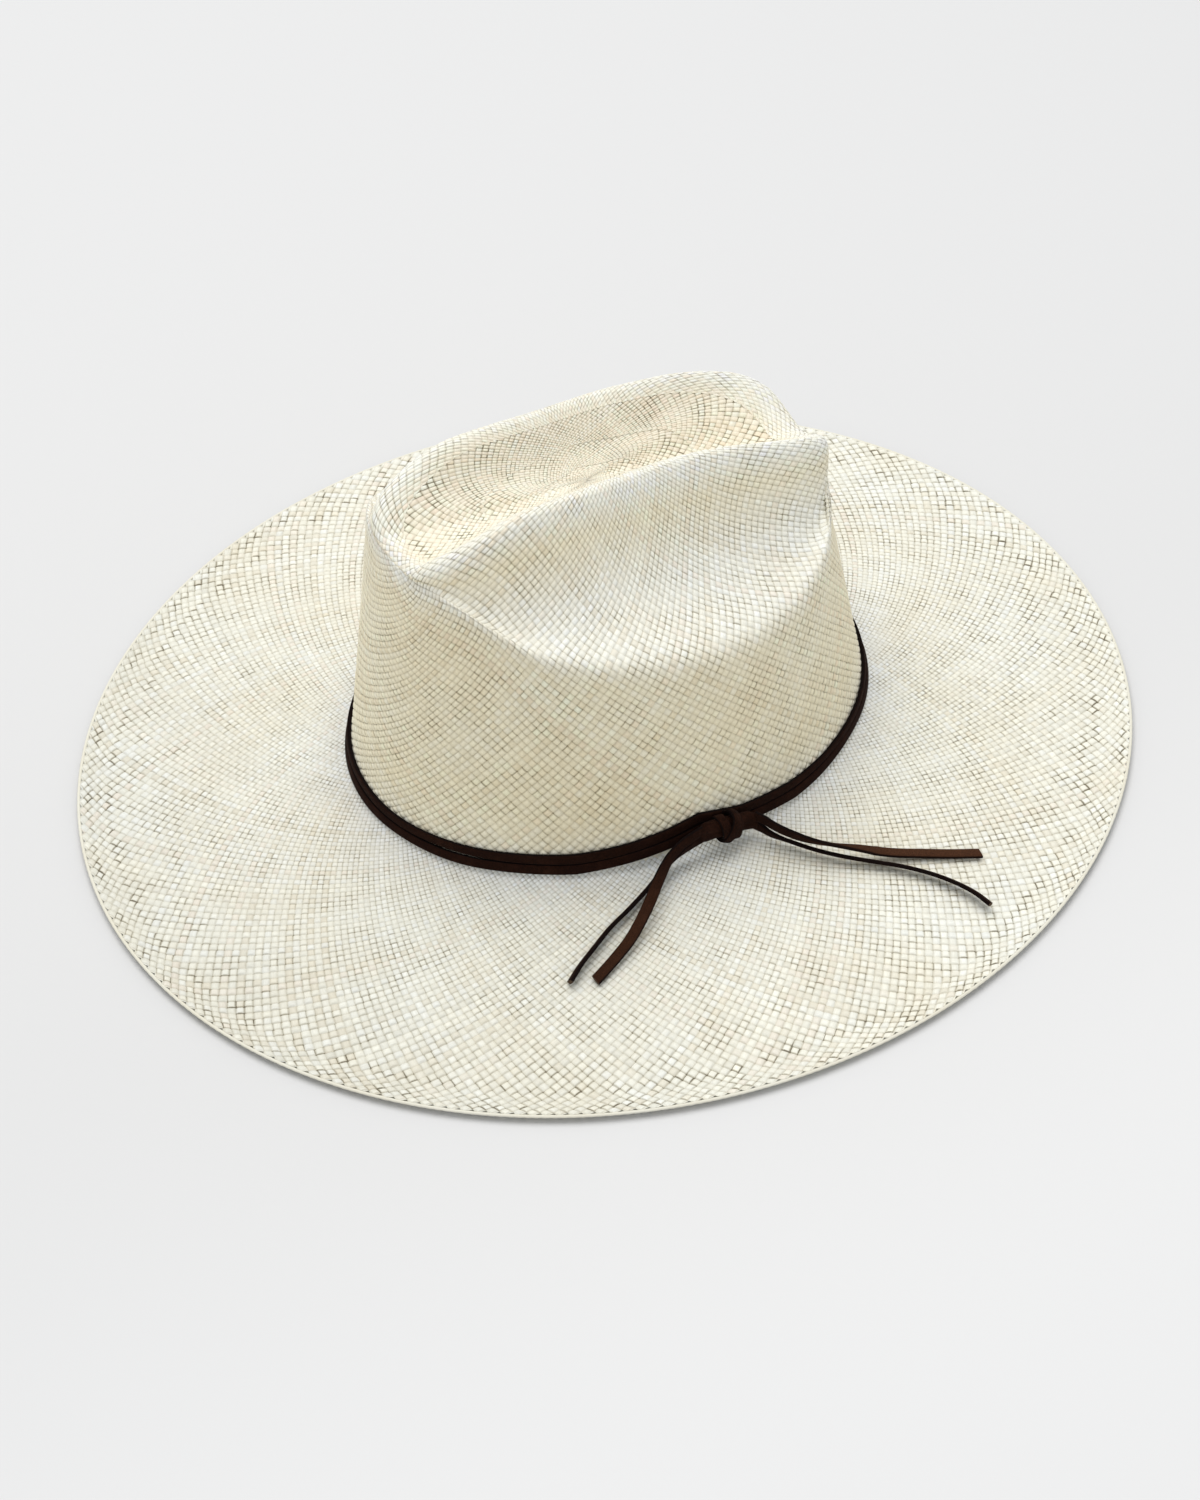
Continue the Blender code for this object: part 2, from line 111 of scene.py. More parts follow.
def make_camera():
    """Looks down from the hat's right, a little behind, at the foot of the crown."""
    elevation, yaw, roll = map(math.radians, (CAMERA_ELEVATION, CAMERA_YAW, CAMERA_ROLL))
    away = Vector((-math.sin(yaw) * math.cos(elevation), -math.cos(yaw) * math.cos(elevation),
                   math.sin(elevation)))
    forward = -away
    right = forward.cross(Vector((0, 0, 1))).normalized()
    up = right.cross(forward)
    tilted_right = right * math.cos(roll) + up * math.sin(roll)
    tilted_up = up * math.cos(roll) - right * math.sin(roll)
    data = bpy.data.cameras.new("camera")
    camera = bpy.data.objects.new("camera", data)
    turn = Matrix((tilted_right, tilted_up, -forward)).transposed()
    place = Vector(CAMERA_TARGET) + away * CAMERA_DISTANCE
    camera.matrix_world = Matrix.Translation(place) @ turn.to_4x4()
    data.sensor_fit = "VERTICAL"
    data.sensor_height = 36.0
    data.lens = CAMERA_LENS
    data.shift_x, data.shift_y = CAMERA_SHIFT
    bpy.context.scene.collection.objects.link(camera)
    bpy.context.scene.camera = camera


# ---------------------------------------------------------------- node helpers

class Nodes:
    """Short calls for building one material's node tree."""

    def __init__(self, name):
        self.material = bpy.data.materials.new(name)
        self.material.use_nodes = True
        self.tree = self.material.node_tree
        self.shader = self.tree.nodes["Principled BSDF"]

    def feed(self, socket, value):
        if hasattr(value, "is_output"):
            self.tree.links.new(value, socket)
        else:
            socket.default_value = value

    def math(self, operation, a, b=0.0, clamp=False):
        node = self.tree.nodes.new("ShaderNodeMath")
        node.operation = operation
        node.use_clamp = clamp
        self.feed(node.inputs[0], a)
        self.feed(node.inputs[1], b)
        return node.outputs[0]

    def ramp(self, value, low, high, out_low=0.0, out_high=1.0):
        node = self.tree.nodes.new("ShaderNodeMapRange")
        node.interpolation_type = "SMOOTHSTEP"
        for name, number in (("From Min", low), ("From Max", high), ("To Min", out_low),
                             ("To Max", out_high)):
            node.inputs[name].default_value = number
        self.feed(node.inputs["Value"], value)
        return node.outputs["Result"]

    def mix(self, factor, a, b, blend="MIX"):
        node = self.tree.nodes.new("ShaderNodeMix")
        node.data_type = "RGBA"
        node.blend_type = blend
        self.feed(node.inputs["Factor"], factor)
        self.feed(node.inputs["A"], a)
        self.feed(node.inputs["B"], b)
        return node.outputs["Result"]

    def attribute(self, name, output="Fac"):
        node = self.tree.nodes.new("ShaderNodeAttribute")
        node.attribute_name = name
        return node.outputs[output]

    def position(self):
        return self.tree.nodes.new("ShaderNodeTexCoord").outputs["Object"]

    def uv(self, name):
        node = self.tree.nodes.new("ShaderNodeUVMap")
        node.uv_map = name
        return node.outputs["UV"]

    def split(self, vector):
        node = self.tree.nodes.new("ShaderNodeSeparateXYZ")
        self.feed(node.inputs[0], vector)
        return node.outputs

    def join(self, x, y, z):
        node = self.tree.nodes.new("ShaderNodeCombineXYZ")
        for socket, value in zip(node.inputs, (x, y, z)):
            self.feed(socket, value)
        return node.outputs[0]

    def noise(self, vector, scale, detail=2.0, rough=0.5, output="Fac"):
        node = self.tree.nodes.new("ShaderNodeTexNoise")
        self.feed(node.inputs["Vector"], vector)
        node.inputs["Scale"].default_value = scale
        node.inputs["Detail"].default_value = detail
        node.inputs["Roughness"].default_value = rough
        return node.outputs[output]

    def bump(self, height, distance, strength=1.0, normal=None):
        node = self.tree.nodes.new("ShaderNodeBump")
        node.inputs["Distance"].default_value = distance
        node.inputs["Strength"].default_value = strength
        self.feed(node.inputs["Height"], height)
        if normal is not None:
            self.feed(node.inputs["Normal"], normal)
        return node.outputs["Normal"]

    def finish(self, colour, roughness, normal, **values):
        self.feed(self.shader.inputs["Base Color"], colour)
        self.feed(self.shader.inputs["Roughness"], roughness)
        self.feed(self.shader.inputs["Normal"], normal)
        for name, value in values.items():
            self.shader.inputs[name.replace("_", " ")].default_value = value
        return self.material


# ---------------------------------------------------------------- straw surface, as in the CAD source

STATION_STEP = 0.5
SMOOTHING_SAMPLES = 20


def around(phi, degrees, values):
    """Value at direction phi, from stations between the front (0) and the back (180), smoothed."""
    grid = np.arange(0.0, 180.0 + STATION_STEP, STATION_STEP)
    line = np.interp(grid, degrees, values)
    reach = SMOOTHING_SAMPLES
    kernel = np.exp(-np.linspace(-2.0, 2.0, 2 * reach + 1) ** 2)
    mirrored = np.concatenate([line[reach:0:-1], line, line[-2:-reach - 2:-1]])
    smooth = np.convolve(mirrored, kernel / kernel.sum(), "valid")
    from_front = np.degrees(np.abs((phi + math.pi) % TURN - math.pi))
    return np.interp(from_front, grid, smooth)


def squircle(phi, power):
    """Unit oval: a circle at power 2, squarer above."""
    c, s = np.cos(phi), np.sin(phi)
    r = (np.abs(c) ** power + np.abs(s) ** power) ** (-1.0 / power)
    return c * r, s * r


def ring(phi, half_length, half_width, height, power=2.0, shift=0.0):
    c, s = squircle(phi, power)
    return np.stack([shift + half_length * c, half_width * s, height + 0.0 * phi], -1)


def brim_rings(phi):
    """From the rim inwards: share of the brim's width, and height above the resting plane."""
    wide = BRIM_HALF_LENGTH - CROWN_HALF_LENGTH
    across = BRIM_HALF_WIDTH - CROWN_HALF_WIDTH
    section = [(1.0, RIM_TOP_HEIGHT), (0.90, 0.0002), (0.66, 0.0040), (0.36, 0.0080),
               (0.14, 0.0113), (0.05, 0.0130)]
    rings = [ring(phi, CROWN_HALF_LENGTH + wide * share, CROWN_HALF_WIDTH + across * share, height)
             for share, height in section]
    rings.append(ring(phi, CROWN_HALF_LENGTH + 0.0010, CROWN_HALF_WIDTH + 0.0010, 0.0137))
    return rings


def wall_ring(phi, rise, power=2.0, inset=0.0):
    """Crown wall at a rise above its foot; the wall leans in, most at the front."""
    lean = around(phi, [0, 30, 60, 90, 130, 160, 180], [.20, .19, .14, .10, .10, .12, .13])
    inward = lean * rise + inset
    return ring(phi, CROWN_HALF_LENGTH - inward, CROWN_HALF_WIDTH - inward,
                CROWN_FOOT_HEIGHT + rise, power)


def tip_outline(phi):
    """Half length, half width and height of the ridge round the tip."""
    ridge_rise = around(phi, [0, 20, 40, 63, 78, 100, 122, 140, 160, 180],
                        [.0930, .0980, .1085, .1230, .1285, .1315, .1345, .1255, .1155, .1135])
    half_width = around(phi, [0, 40, 70, 100, 140, 180],
                        [.0310, .0312, .0270, .0270, .0300, .0330])
    length = around(phi, [0, 60, 120, 180], RIM_LENGTHS)
    return length, half_width, CROWN_FOOT_HEIGHT + ridge_rise


def ridge_ring(phi, wider=0.0, higher=0.0):
    length, half_width, height = tip_outline(phi)
    return ring(phi, length + wider, half_width + wider, height + higher, RIM_SQUARENESS,
                RIDGE_SHIFT)


def wall_rings(phi, shoulder):
    """The crown's wall; near its back corners it runs straight up to the ridge."""
    foot = ring(phi, CROWN_HALF_LENGTH - 0.0006, CROWN_HALF_WIDTH - 0.0006,
                CROWN_FOOT_HEIGHT + 0.0040)
    walls = [wall_ring(phi, 0.020 + 0.0 * phi),
             wall_ring(phi, 0.5 * shoulder),
             wall_ring(phi, shoulder - 0.011),
             wall_ring(phi, shoulder, 2.2, SHOULDER_INSET)]
    edge = ridge_ring(phi, 0.0010, -0.0020)
    straight = around(phi, [0, 138, 152, 162, 180], [0, 0, .40, .50, .20])
    for wall in walls:
        share = (wall[:, 2] - foot[:, 2]) / (edge[:, 2] - foot[:, 2])
        line = foot[:, :2] + share[:, None] * (edge - foot)[:, :2]
        wall[:, :2] += straight[:, None] * (line - wall[:, :2])
    return [foot] + walls


def tip_rings(phi, shoulder_ring):
    """Side dishes, the ridge round the tip, and the long dent down its middle."""
    _, half_width, height = tip_outline(phi)
    ridge = ridge_ring(phi)
    dish = around(phi, [0, 14, 28, 45, 75, 100, 120, 135, 150, 165, 180],
                  [0, .1, .6, 1, 1, .95, .90, .75, .15, 0, 0])
    low_dip = np.stack([0 * phi, 0 * phi, LOW_DISH_DEPTH * dish], -1)
    high_dip = np.stack([0 * phi, 0 * phi, HIGH_DISH_DEPTH * dish], -1)
    end = around(phi, [0, 30, 55, 125, 150, 180], [1, 1, 0, 0, 1, 1])
    floor = DENT_FLOOR_HEIGHT
    rise = height - floor
    return [0.60 * shoulder_ring + 0.40 * ridge - low_dip,
            0.24 * shoulder_ring + 0.76 * ridge - high_dip,
            ridge_ring(phi, 0.0010, -0.0020),
            ridge_ring(phi, -0.0027, 0.0026),
            ring(phi, 0.078, half_width - 0.0080, floor + (0.90 - 0.05 * end) * rise, 3.0, -0.004),
            ring(phi, 0.064, half_width - 0.0125, floor + (0.50 + 0.20 * end) * rise, 3.0, -0.004),
            ring(phi, 0.043, 0.0095, floor + (0.16 + 0.29 * end) * rise, 3.0, -0.006),
            ring(phi, 0.020, 0.0045, floor + (0.03 + 0.12 * end) * rise, 3.0, -0.007),
            ring(phi, 0.0, 0.0, floor, 3.0, -0.0075)]


def straw_rings(phi):
    """Control rings of the straw's outer surface, from the rim of the brim to the tip's middle."""
    shoulder = around(phi, [0, 18, 30, 42, 55, 70, 90, 110, 122, 132, 140, 147, 152, 160, 180],
                      [.092, .093, .092, .087, .082, .081, .084, .089, .0935, .0990, .1065, .1130,
                       .1150, .1135, .1110])
    walls = wall_rings(phi, shoulder)
    return np.array(brim_rings(phi) + walls + tip_rings(phi, walls[-1]))


def straw_surface(phi, rows):
    """Outer surface: a cubic B-spline through the control rings, at each row and direction."""
    rings = straw_rings(phi)
    last = len(rings) - 1
    control = np.concatenate([2 * rings[:1] - rings[1:2], rings, 2 * rings[-1:] - rings[-2:-1]])
    rows = np.asarray(rows, float)
    base = np.clip(rows.astype(int), 0, last - 1)
    f = (rows - base)[:, None, None]
    return ((1 - f) ** 3 * control[base]
            + (3 * f ** 3 - 6 * f ** 2 + 4) * control[base + 1]
            + (-3 * f ** 3 + 3 * f ** 2 + 3 * f + 1) * control[base + 2]
            + f ** 3 * control[base + 3]) / 6.0


def unit(vectors):
    return vectors / (np.linalg.norm(vectors, axis=-1, keepdims=True) + 1e-12)


# ---------------------------------------------------------------- tables of the surface

BREAK_ROW = 6.55                # where brim and crown meet, hidden below the laces
DENT_ROW = 16.0                 # how far the crown's weave runs, over the ridge and into the dent
TIP_MIDDLE = -0.0075            # where the weave of the tip starts, along X
FINE = 1800                     # directions that a ring's length is measured over


def evenly_along(lines, count):
    """Each line of (step, direction, xyz and row) read again at even shares of its own length."""
    step = np.linalg.norm(np.diff(lines[..., :3], axis=0), axis=-1)
    length = np.concatenate([np.zeros((1, lines.shape[1])), np.cumsum(step, 0)])
    length /= length[-1:]
    even = np.linspace(0.0, 1.0, count)
    result = np.empty((count,) + lines.shape[1:])
    for d in range(lines.shape[1]):
        for axis in range(lines.shape[2]):
            result[:, d, axis] = np.interp(even, length[:, d], lines[:, d, axis])
    return result


class Surface:
    """The outer surface between two rows, as a fine table over share (0 to 1) and direction.

    Directions are even along each ring's length, starting at the front, and shares are even along
    each line from the first row to the last. spread holds rows and, for each, how far the
    directions turn instead to even angles about the middle of the tip, as on a woven dome."""

    def __init__(self, first_row, last_row, directions, shares, spread=([0.0], [0.0])):
        phi = np.arange(FINE) / FINE * TURN
        rows = np.linspace(first_row, last_row, 360)
        fine = straw_surface(phi, rows)
        closed = np.concatenate([fine, fine[:, :1]], axis=1)
        travelled = np.cumsum(np.linalg.norm(np.diff(closed, axis=1), axis=2), axis=1)
        travelled = np.concatenate([np.zeros((len(rows), 1)), travelled], axis=1)
        travelled /= travelled[:, -1:] + 1e-12
        even_angle = np.unwrap(np.arctan2(closed[..., 1] * CROWN_HALF_LENGTH / CROWN_HALF_WIDTH,
                                          closed[..., 0] - TIP_MIDDLE)) / TURN
        share_of_angle = (np.interp(rows, *spread) * np.clip((19.6 - rows) / 1.6, 0.0, 1.0))[:, None]
        travelled += share_of_angle * (even_angle - travelled)
        even = np.arange(directions) / directions
        lines = np.stack([[np.interp(even, place, line[:, axis]) for axis in range(3)]
                           + [np.full(directions, row)]
                           for place, line, row in zip(travelled, closed, rows)])
        table = evenly_along(lines.transpose(0, 2, 1), shares)
        self.points, self.rows = table[..., :3], table[..., 3:]
        self.shares, self.directions = shares, directions
        along = np.roll(self.points, -1, 1) - np.roll(self.points, 1, 1)
        normal = np.cross(along, np.gradient(self.points, axis=0))
        self.normals = unit(normal)
        self.girth = np.linalg.norm(np.roll(self.points, -1, 1) - self.points, axis=-1).sum(1)
        self.length = np.linalg.norm(np.diff(self.points, axis=0), axis=-1).sum(0).mean()

    def read(self, table, direction, share):
        """Value of a table at directions in turns and shares, between its four neighbours."""
        x = (direction % 1.0) * self.directions
        y = np.clip(share, 0.0, 1.0) * (self.shares - 1)
        i = np.floor(x).astype(int) % self.directions
        j = np.minimum(y.astype(int), self.shares - 2)
        fx, fy = (x - np.floor(x))[:, None], (y - j)[:, None]
        i2 = (i + 1) % self.directions
        return ((1 - fx) * (1 - fy) * table[j, i] + fx * (1 - fy) * table[j, i2]
                + (1 - fx) * fy * table[j + 1, i] + fx * fy * table[j + 1, i2])

    def girth_at(self, share):
        return np.interp(share, np.linspace(0.0, 1.0, self.shares), self.girth)


# ---------------------------------------------------------------- weave

EDGE_INSET = 0.13               # where the flat of the top straw starts, as a share of its width
END_INSET = 0.31                # where it starts to dive, as a share of the crossing
LINE_INSET = 0.22               # where the points on the lines between crossings lie

PALEST = 0.96                   # no straw reflects more than this

# Painted shade along X: the weave's tone, darker towards the back, and the strength of the painted
# shade in its gaps, at places along X
PAINTED_SHADE_X = [-0.20, -0.12, -0.03, 0.16]
PAINTED_SHADE_TONE = [0.88, 0.92, 1.0, 1.0]
PAINTED_GAP_SHADE = [1.08, 1.05, 1.10, 1.30]

# Straw colours, linear
CREAM = np.array([0.860, 0.835, 0.720])
BEIGE = np.array([0.770, 0.700, 0.550])
PINK = np.array([0.840, 0.740, 0.620])
WHITE = np.array([0.900, 0.905, 0.860])


def straw_colours(count):
    """One colour for each straw: mostly cream, some beige, pinkish or bleached."""
    base = CREAM * (1.0 + 0.025 * rng.standard_normal((count, 1)))
    kind = rng.random(count)
    amount = rng.random((count, 1)) * 0.55
    for low, high, colour in ((0.0, 0.14, BEIGE), (0.14, 0.22, PINK), (0.22, 0.50, WHITE)):
        chosen = ((kind >= low) & (kind < high))[:, None]
        base = np.where(chosen, base * (1 - amount) + colour * amount, base)
    return base


def placed(u_line, v_line, straws, sub):
    """Where each lattice point lies, counted in straws, and its height from -1 (gap) up."""
    i, j = u_line // sub, v_line // sub
    a, b = u_line - i * sub, v_line - j * sub
    first_on_top = (i + j) % 2 == 0
    inside = (a > 0) & (b > 0)
    u_inset = np.where(inside, np.where(first_on_top, EDGE_INSET, END_INSET), LINE_INSET)
    v_inset = np.where(inside, np.where(first_on_top, END_INSET, EDGE_INSET), LINE_INSET)
    if sub == 2:
        u_inset = v_inset = np.full(len(i), 0.5)
    u = i + np.where(a == 0, 0.0, np.where(a == 1, u_inset, 1.0 - u_inset))
    v = j + np.where(b == 0, 0.0, np.where(b == 1, v_inset, 1.0 - v_inset))
    lift = rng.normal(0.0, 0.16, (2, straws))
    own = np.where(first_on_top, lift[0][i % straws], lift[1][j % straws])
    height = np.where(inside, 0.85 + own, np.where((a > 0) | (b > 0), -0.55, -1.0))
    return u, v, height


class Weave:
    """A band of plain weave on a surface, both families of straws at 45 degrees to its rings.

    relief is the height of a straw as a share of its width, squat stretches the crossings round
    the hat, and lining turns the faces and the relief inwards, for the inner face. A weave shaded
    along X gets painted shade: darker towards the back of the hat, with the painted shade in its
    gaps deepest at the front."""

    def __init__(self, surface, start, end, straws, relief=0.10, squat=None, offset=0.0,
                 lining=False, sub=3, tints=None, bold=None, shade_along_x=False):
        grid = np.linspace(start, end, 600)
        stretch = 1.0 if squat is None else np.interp(grid, *squat)
        per_share = 2.0 * straws * sub * surface.length / surface.girth_at(grid) / stretch
        steps = np.concatenate([[0.0], np.cumsum(0.5 * (per_share[1:] + per_share[:-1])
                                                 * np.diff(grid))])
        self.rings = max(4, 2 * int(round(steps[-1] / 2)))
        self.straws, self.sub, self.round = straws, sub, straws * sub
        m = np.repeat(np.arange(self.rings + 1), self.round)
        n = np.tile(np.arange(self.round), self.rings + 1)
        u, v, height = placed(n + (m + m % 2) // 2, n + (m % 2 - m) // 2, straws, sub)
        turns = (u + v) / (2.0 * straws)
        rise = np.clip((u - v) * sub / self.rings, 0.0, 1.0)
        share = np.interp(rise * steps[-1], steps, grid)
        share = np.where(m == 0, start, np.where(m == self.rings, end, share))
        normal = unit(surface.read(surface.normals, turns, share))
        pitch = surface.girth_at(share) / straws / math.sqrt(2.0)
        fade = np.clip(np.minimum(m, self.rings - m) / (1.2 * sub), 0.15, 1.0)
        lift = offset + (-1.0 if lining else 1.0) * relief * pitch * height * fade
        self.points = surface.read(surface.points, turns, share) + normal * lift[:, None]
        self.points[:, 2] = np.maximum(self.points[:, 2], 0.00005)
        self.add_faces(u, v, lining)
        centre_share = share[self.faces].mean(1)
        # Tints by row; most of them paint light and shade on parts of the hat
        if tints is not None:
            rows = surface.read(surface.rows, turns, share)[:, 0][self.faces].mean(1)
            stops = [row for row, _ in tints]
            self.colours = self.colours * np.stack(
                [np.interp(rows, stops, [tint[k] for _, tint in tints]) for k in range(3)], -1)
        # Strength of the painted shade in each crossing's gaps, at random from crossing to crossing;
        # bold deepens it at given shares of the band
        self.gaps = 0.40 + 0.60 * self.lots ** 2
        if bold is not None:
            self.gaps = self.gaps + self.lots ** 2 * np.interp(centre_share, *bold)
        self.gaps = self.gaps * fade[self.faces].mean(1)
        # Painted shade along X: darker towards the back, and deeper painted shade in the gaps at the
        # front
        if shade_along_x:
            forward = self.points[self.faces][..., 0].mean(1)
            self.colours = self.colours * np.interp(forward, PAINTED_SHADE_X, PAINTED_SHADE_TONE)[:, None]
            self.gaps = self.gaps * np.interp(forward, PAINTED_SHADE_X, PAINTED_GAP_SHADE)
        self.colours = np.minimum(self.colours, PALEST)

    def add_faces(self, u, v, lining):
        m = np.repeat(np.arange(self.rings - 1), self.round)
        n = np.tile(np.arange(self.round), self.rings - 1)
        odd = m % 2
        ring_of = np.stack([m, m + 1, m + 2, m + 1], 1)
        place_of = np.stack([n, n + odd, n, n + odd - 1], 1)
        index = ring_of * self.round + place_of % self.round
        wraps = self.straws * np.floor_divide(place_of, self.round)
        corner_u, corner_v = u[index] + wraps, v[index] + wraps
        cell_u = np.floor(corner_u.min(1) + 1e-6)
        cell_v = np.floor(corner_v.min(1) + 1e-6)
        iu, iv = cell_u.astype(int) % self.straws, cell_v.astype(int) % self.straws
        self.tops = ((cell_u + cell_v) % 2 == 0).astype(float)
        first, second = straw_colours(self.straws), straw_colours(self.straws)
        self.lots = rng.random((self.straws, self.straws))[iu, iv]
        colour = np.where(self.tops[:, None] > 0.5, first[iu], second[iv])
        self.colours = colour * (0.965 + 0.07 * self.lots[:, None])
        order = [3, 2, 1, 0] if lining else [0, 1, 2, 3]
        self.faces = index[:, order]
        self.cells = np.stack([corner_u - cell_u[:, None],
                               corner_v - cell_v[:, None]], -1)[:, order]

    def build(self, name, material, parts=1):
        """Objects for the whole band, or for equal parts of it from the first ring to the last."""
        cuts = np.linspace(0, self.rings - 1, parts + 1).astype(int) * self.round
        for part in range(parts):
            chosen = slice(cuts[part], cuts[part + 1])
            self.build_part(f"{name}_{part + 1}" if parts > 1 else name, material, chosen)

    def build_part(self, name, material, chosen):
        used, faces = np.unique(self.faces[chosen], return_inverse=True)
        faces = faces.reshape(-1, 4)
        mesh = bpy.data.meshes.new(name)
        mesh.vertices.add(len(used))
        mesh.vertices.foreach_set("co", self.points[used].astype(np.float32).ravel())
        mesh.loops.add(faces.size)
        mesh.loops.foreach_set("vertex_index", faces.astype(np.int32).ravel())
        mesh.polygons.add(len(faces))
        mesh.polygons.foreach_set("loop_start", np.arange(len(faces), dtype=np.int32) * 4)
        mesh.update(calc_edges=True)
        mesh.polygons.foreach_set("use_smooth", np.ones(len(faces), bool))
        cell = mesh.uv_layers.new(name="cell")
        cell.data.foreach_set("uv", self.cells[chosen].astype(np.float32).ravel())
        colour = mesh.attributes.new("straw_colour", "FLOAT_COLOR", "FACE")
        rgba = np.concatenate([self.colours[chosen], np.ones((len(faces), 1))], 1)
        colour.data.foreach_set("color", rgba.astype(np.float32).ravel())
        # gap holds the strength of the painted shade in each face's gaps
        for label, values in (("first_on_top", self.tops), ("lot", self.lots),
                              ("gap", self.gaps)):
            layer = mesh.attributes.new(label, "FLOAT", "FACE")
            layer.data.foreach_set("value", values[chosen].astype(np.float32))
        dress(name, mesh, material, "hat_body", "straw_body")


def straw_material():
    """Bleached straw: a colour for each straw, painted shade in the gaps, with fibres along the
    straw.
    """
    n = Nodes("woven_straw")
    across_u, across_v, _ = n.split(n.uv("cell"))
    top = n.attribute("first_on_top")
    lot = n.attribute("lot")
    colour = n.attribute("straw_colour", "Color")

    def edge_distance(value):
        return n.math("MINIMUM", value, n.math("SUBTRACT", 1.0, value))

    du, dv = edge_distance(across_u), edge_distance(across_v)
    other = n.math("SUBTRACT", 1.0, top)
    side = n.math("ADD", n.math("MULTIPLY", du, top), n.math("MULTIPLY", dv, other))
    end = n.math("ADD", n.math("MULTIPLY", dv, top), n.math("MULTIPLY", du, other))
    # Painted shade on top of the real relief: darker in the gaps beside each straw and where it dives
    # under the next, by an amount that varies in patches and from crossing to crossing
    gap = n.ramp(side, 0.0, 0.19, 0.62, 0.0)
    dive = n.ramp(end, 0.0, 0.26, 0.36, 0.0)
    gap_shade_patches = n.ramp(n.noise(n.position(), 95.0, 3.0), 0.35, 0.70, 0.55, 1.15)
    depth = n.math("MULTIPLY", gap_shade_patches, n.attribute("gap"))
    shade = n.math("MULTIPLY", n.math("ADD", gap, dive), depth)
    shade = n.math("MAXIMUM", n.math("SUBTRACT", 1.0, shade), 0.16)
    width = n.math("ADD", n.math("MULTIPLY", across_u, top), n.math("MULTIPLY", across_v, other))
    along = n.math("ADD", n.math("MULTIPLY", across_v, top), n.math("MULTIPLY", across_u, other))
    fibre_place = n.join(n.math("MULTIPLY", width, 9.0), n.math("MULTIPLY", along, 1.2),
                         n.math("MULTIPLY", lot, 60.0))
    fibre = n.noise(fibre_place, 1.0, 3.0, 0.6)
    streak = n.ramp(fibre, 0.3, 0.7, 0.93, 1.04)
    blotch = n.noise(n.position(), 22.0, 3.0)
    tint = n.mix(n.ramp(blotch, 0.35, 0.75, 0.0, 0.35), (1, 1, 1, 1), (0.93, 0.86, 0.74, 1))
    colour = n.mix(1.0, colour, tint, "MULTIPLY")
    # The painted shade and the fibre streaks darken the colour, the darkest parts warmer
    tone = n.math("MULTIPLY", shade, streak)
    grey = n.join(*(n.math("POWER", tone, power) for power in (0.96, 1.04, 1.22)))
    colour = n.mix(1.0, colour, grey, "MULTIPLY")
    rough = n.ramp(fibre, 0.2, 0.8, 0.46, 0.66)
    round_top = n.math("MULTIPLY", n.ramp(side, 0.0, 0.22), 0.7)
    relief = n.math("ADD", round_top, n.math("MULTIPLY", fibre, 0.30))
    normal = n.bump(relief, 0.00012, 0.8)
    return n.finish(colour, rough, normal, Specular_IOR_Level=0.35, Sheen_Weight=0.06)


BRIM_STRAWS = 264
CROWN_STRAWS = 148
DOME_SHARE = 0.85               # how far the tip's weave spreads from its middle as on a dome
BORDER = 0.105                  # share of the brim that its finished border takes up
LINING_DEPTH = 0.0011

# Tints that straw colours are multiplied by, for parts of the hat. The wall, dish, lip, dent and
# shaded tints paint light and shade: painted warm bounce light on the crown's walls, painted cool
# top light on the side dishes, a painted highlight along the ridge's lip, painted light in the dent,
# and a bluish painted shade on the brim by the crown's foot
# Painted warm bounce light on the crown's walls
WALL_PAINTED_BOUNCE = (1.09, 1.04, 0.92)
# Painted cool top light on the side dishes, lighter and bluer
DISH_PAINTED_TOPLIGHT = (1.07, 1.09, 1.14)
# Painted highlight along the lip of the ridge
LIP_PAINTED_HIGHLIGHT = (1.16, 1.16, 1.20)
# Painted light in the dent, lighter and warmer
DENT_PAINTED_LIGHT = (1.14, 1.09, 1.06)
PLAIN = (1.04, 1.06, 1.10)
# Bluish painted shade on the brim by the crown's foot
FOOT_PAINTED_SHADE = (1.02, 1.06, 1.18)


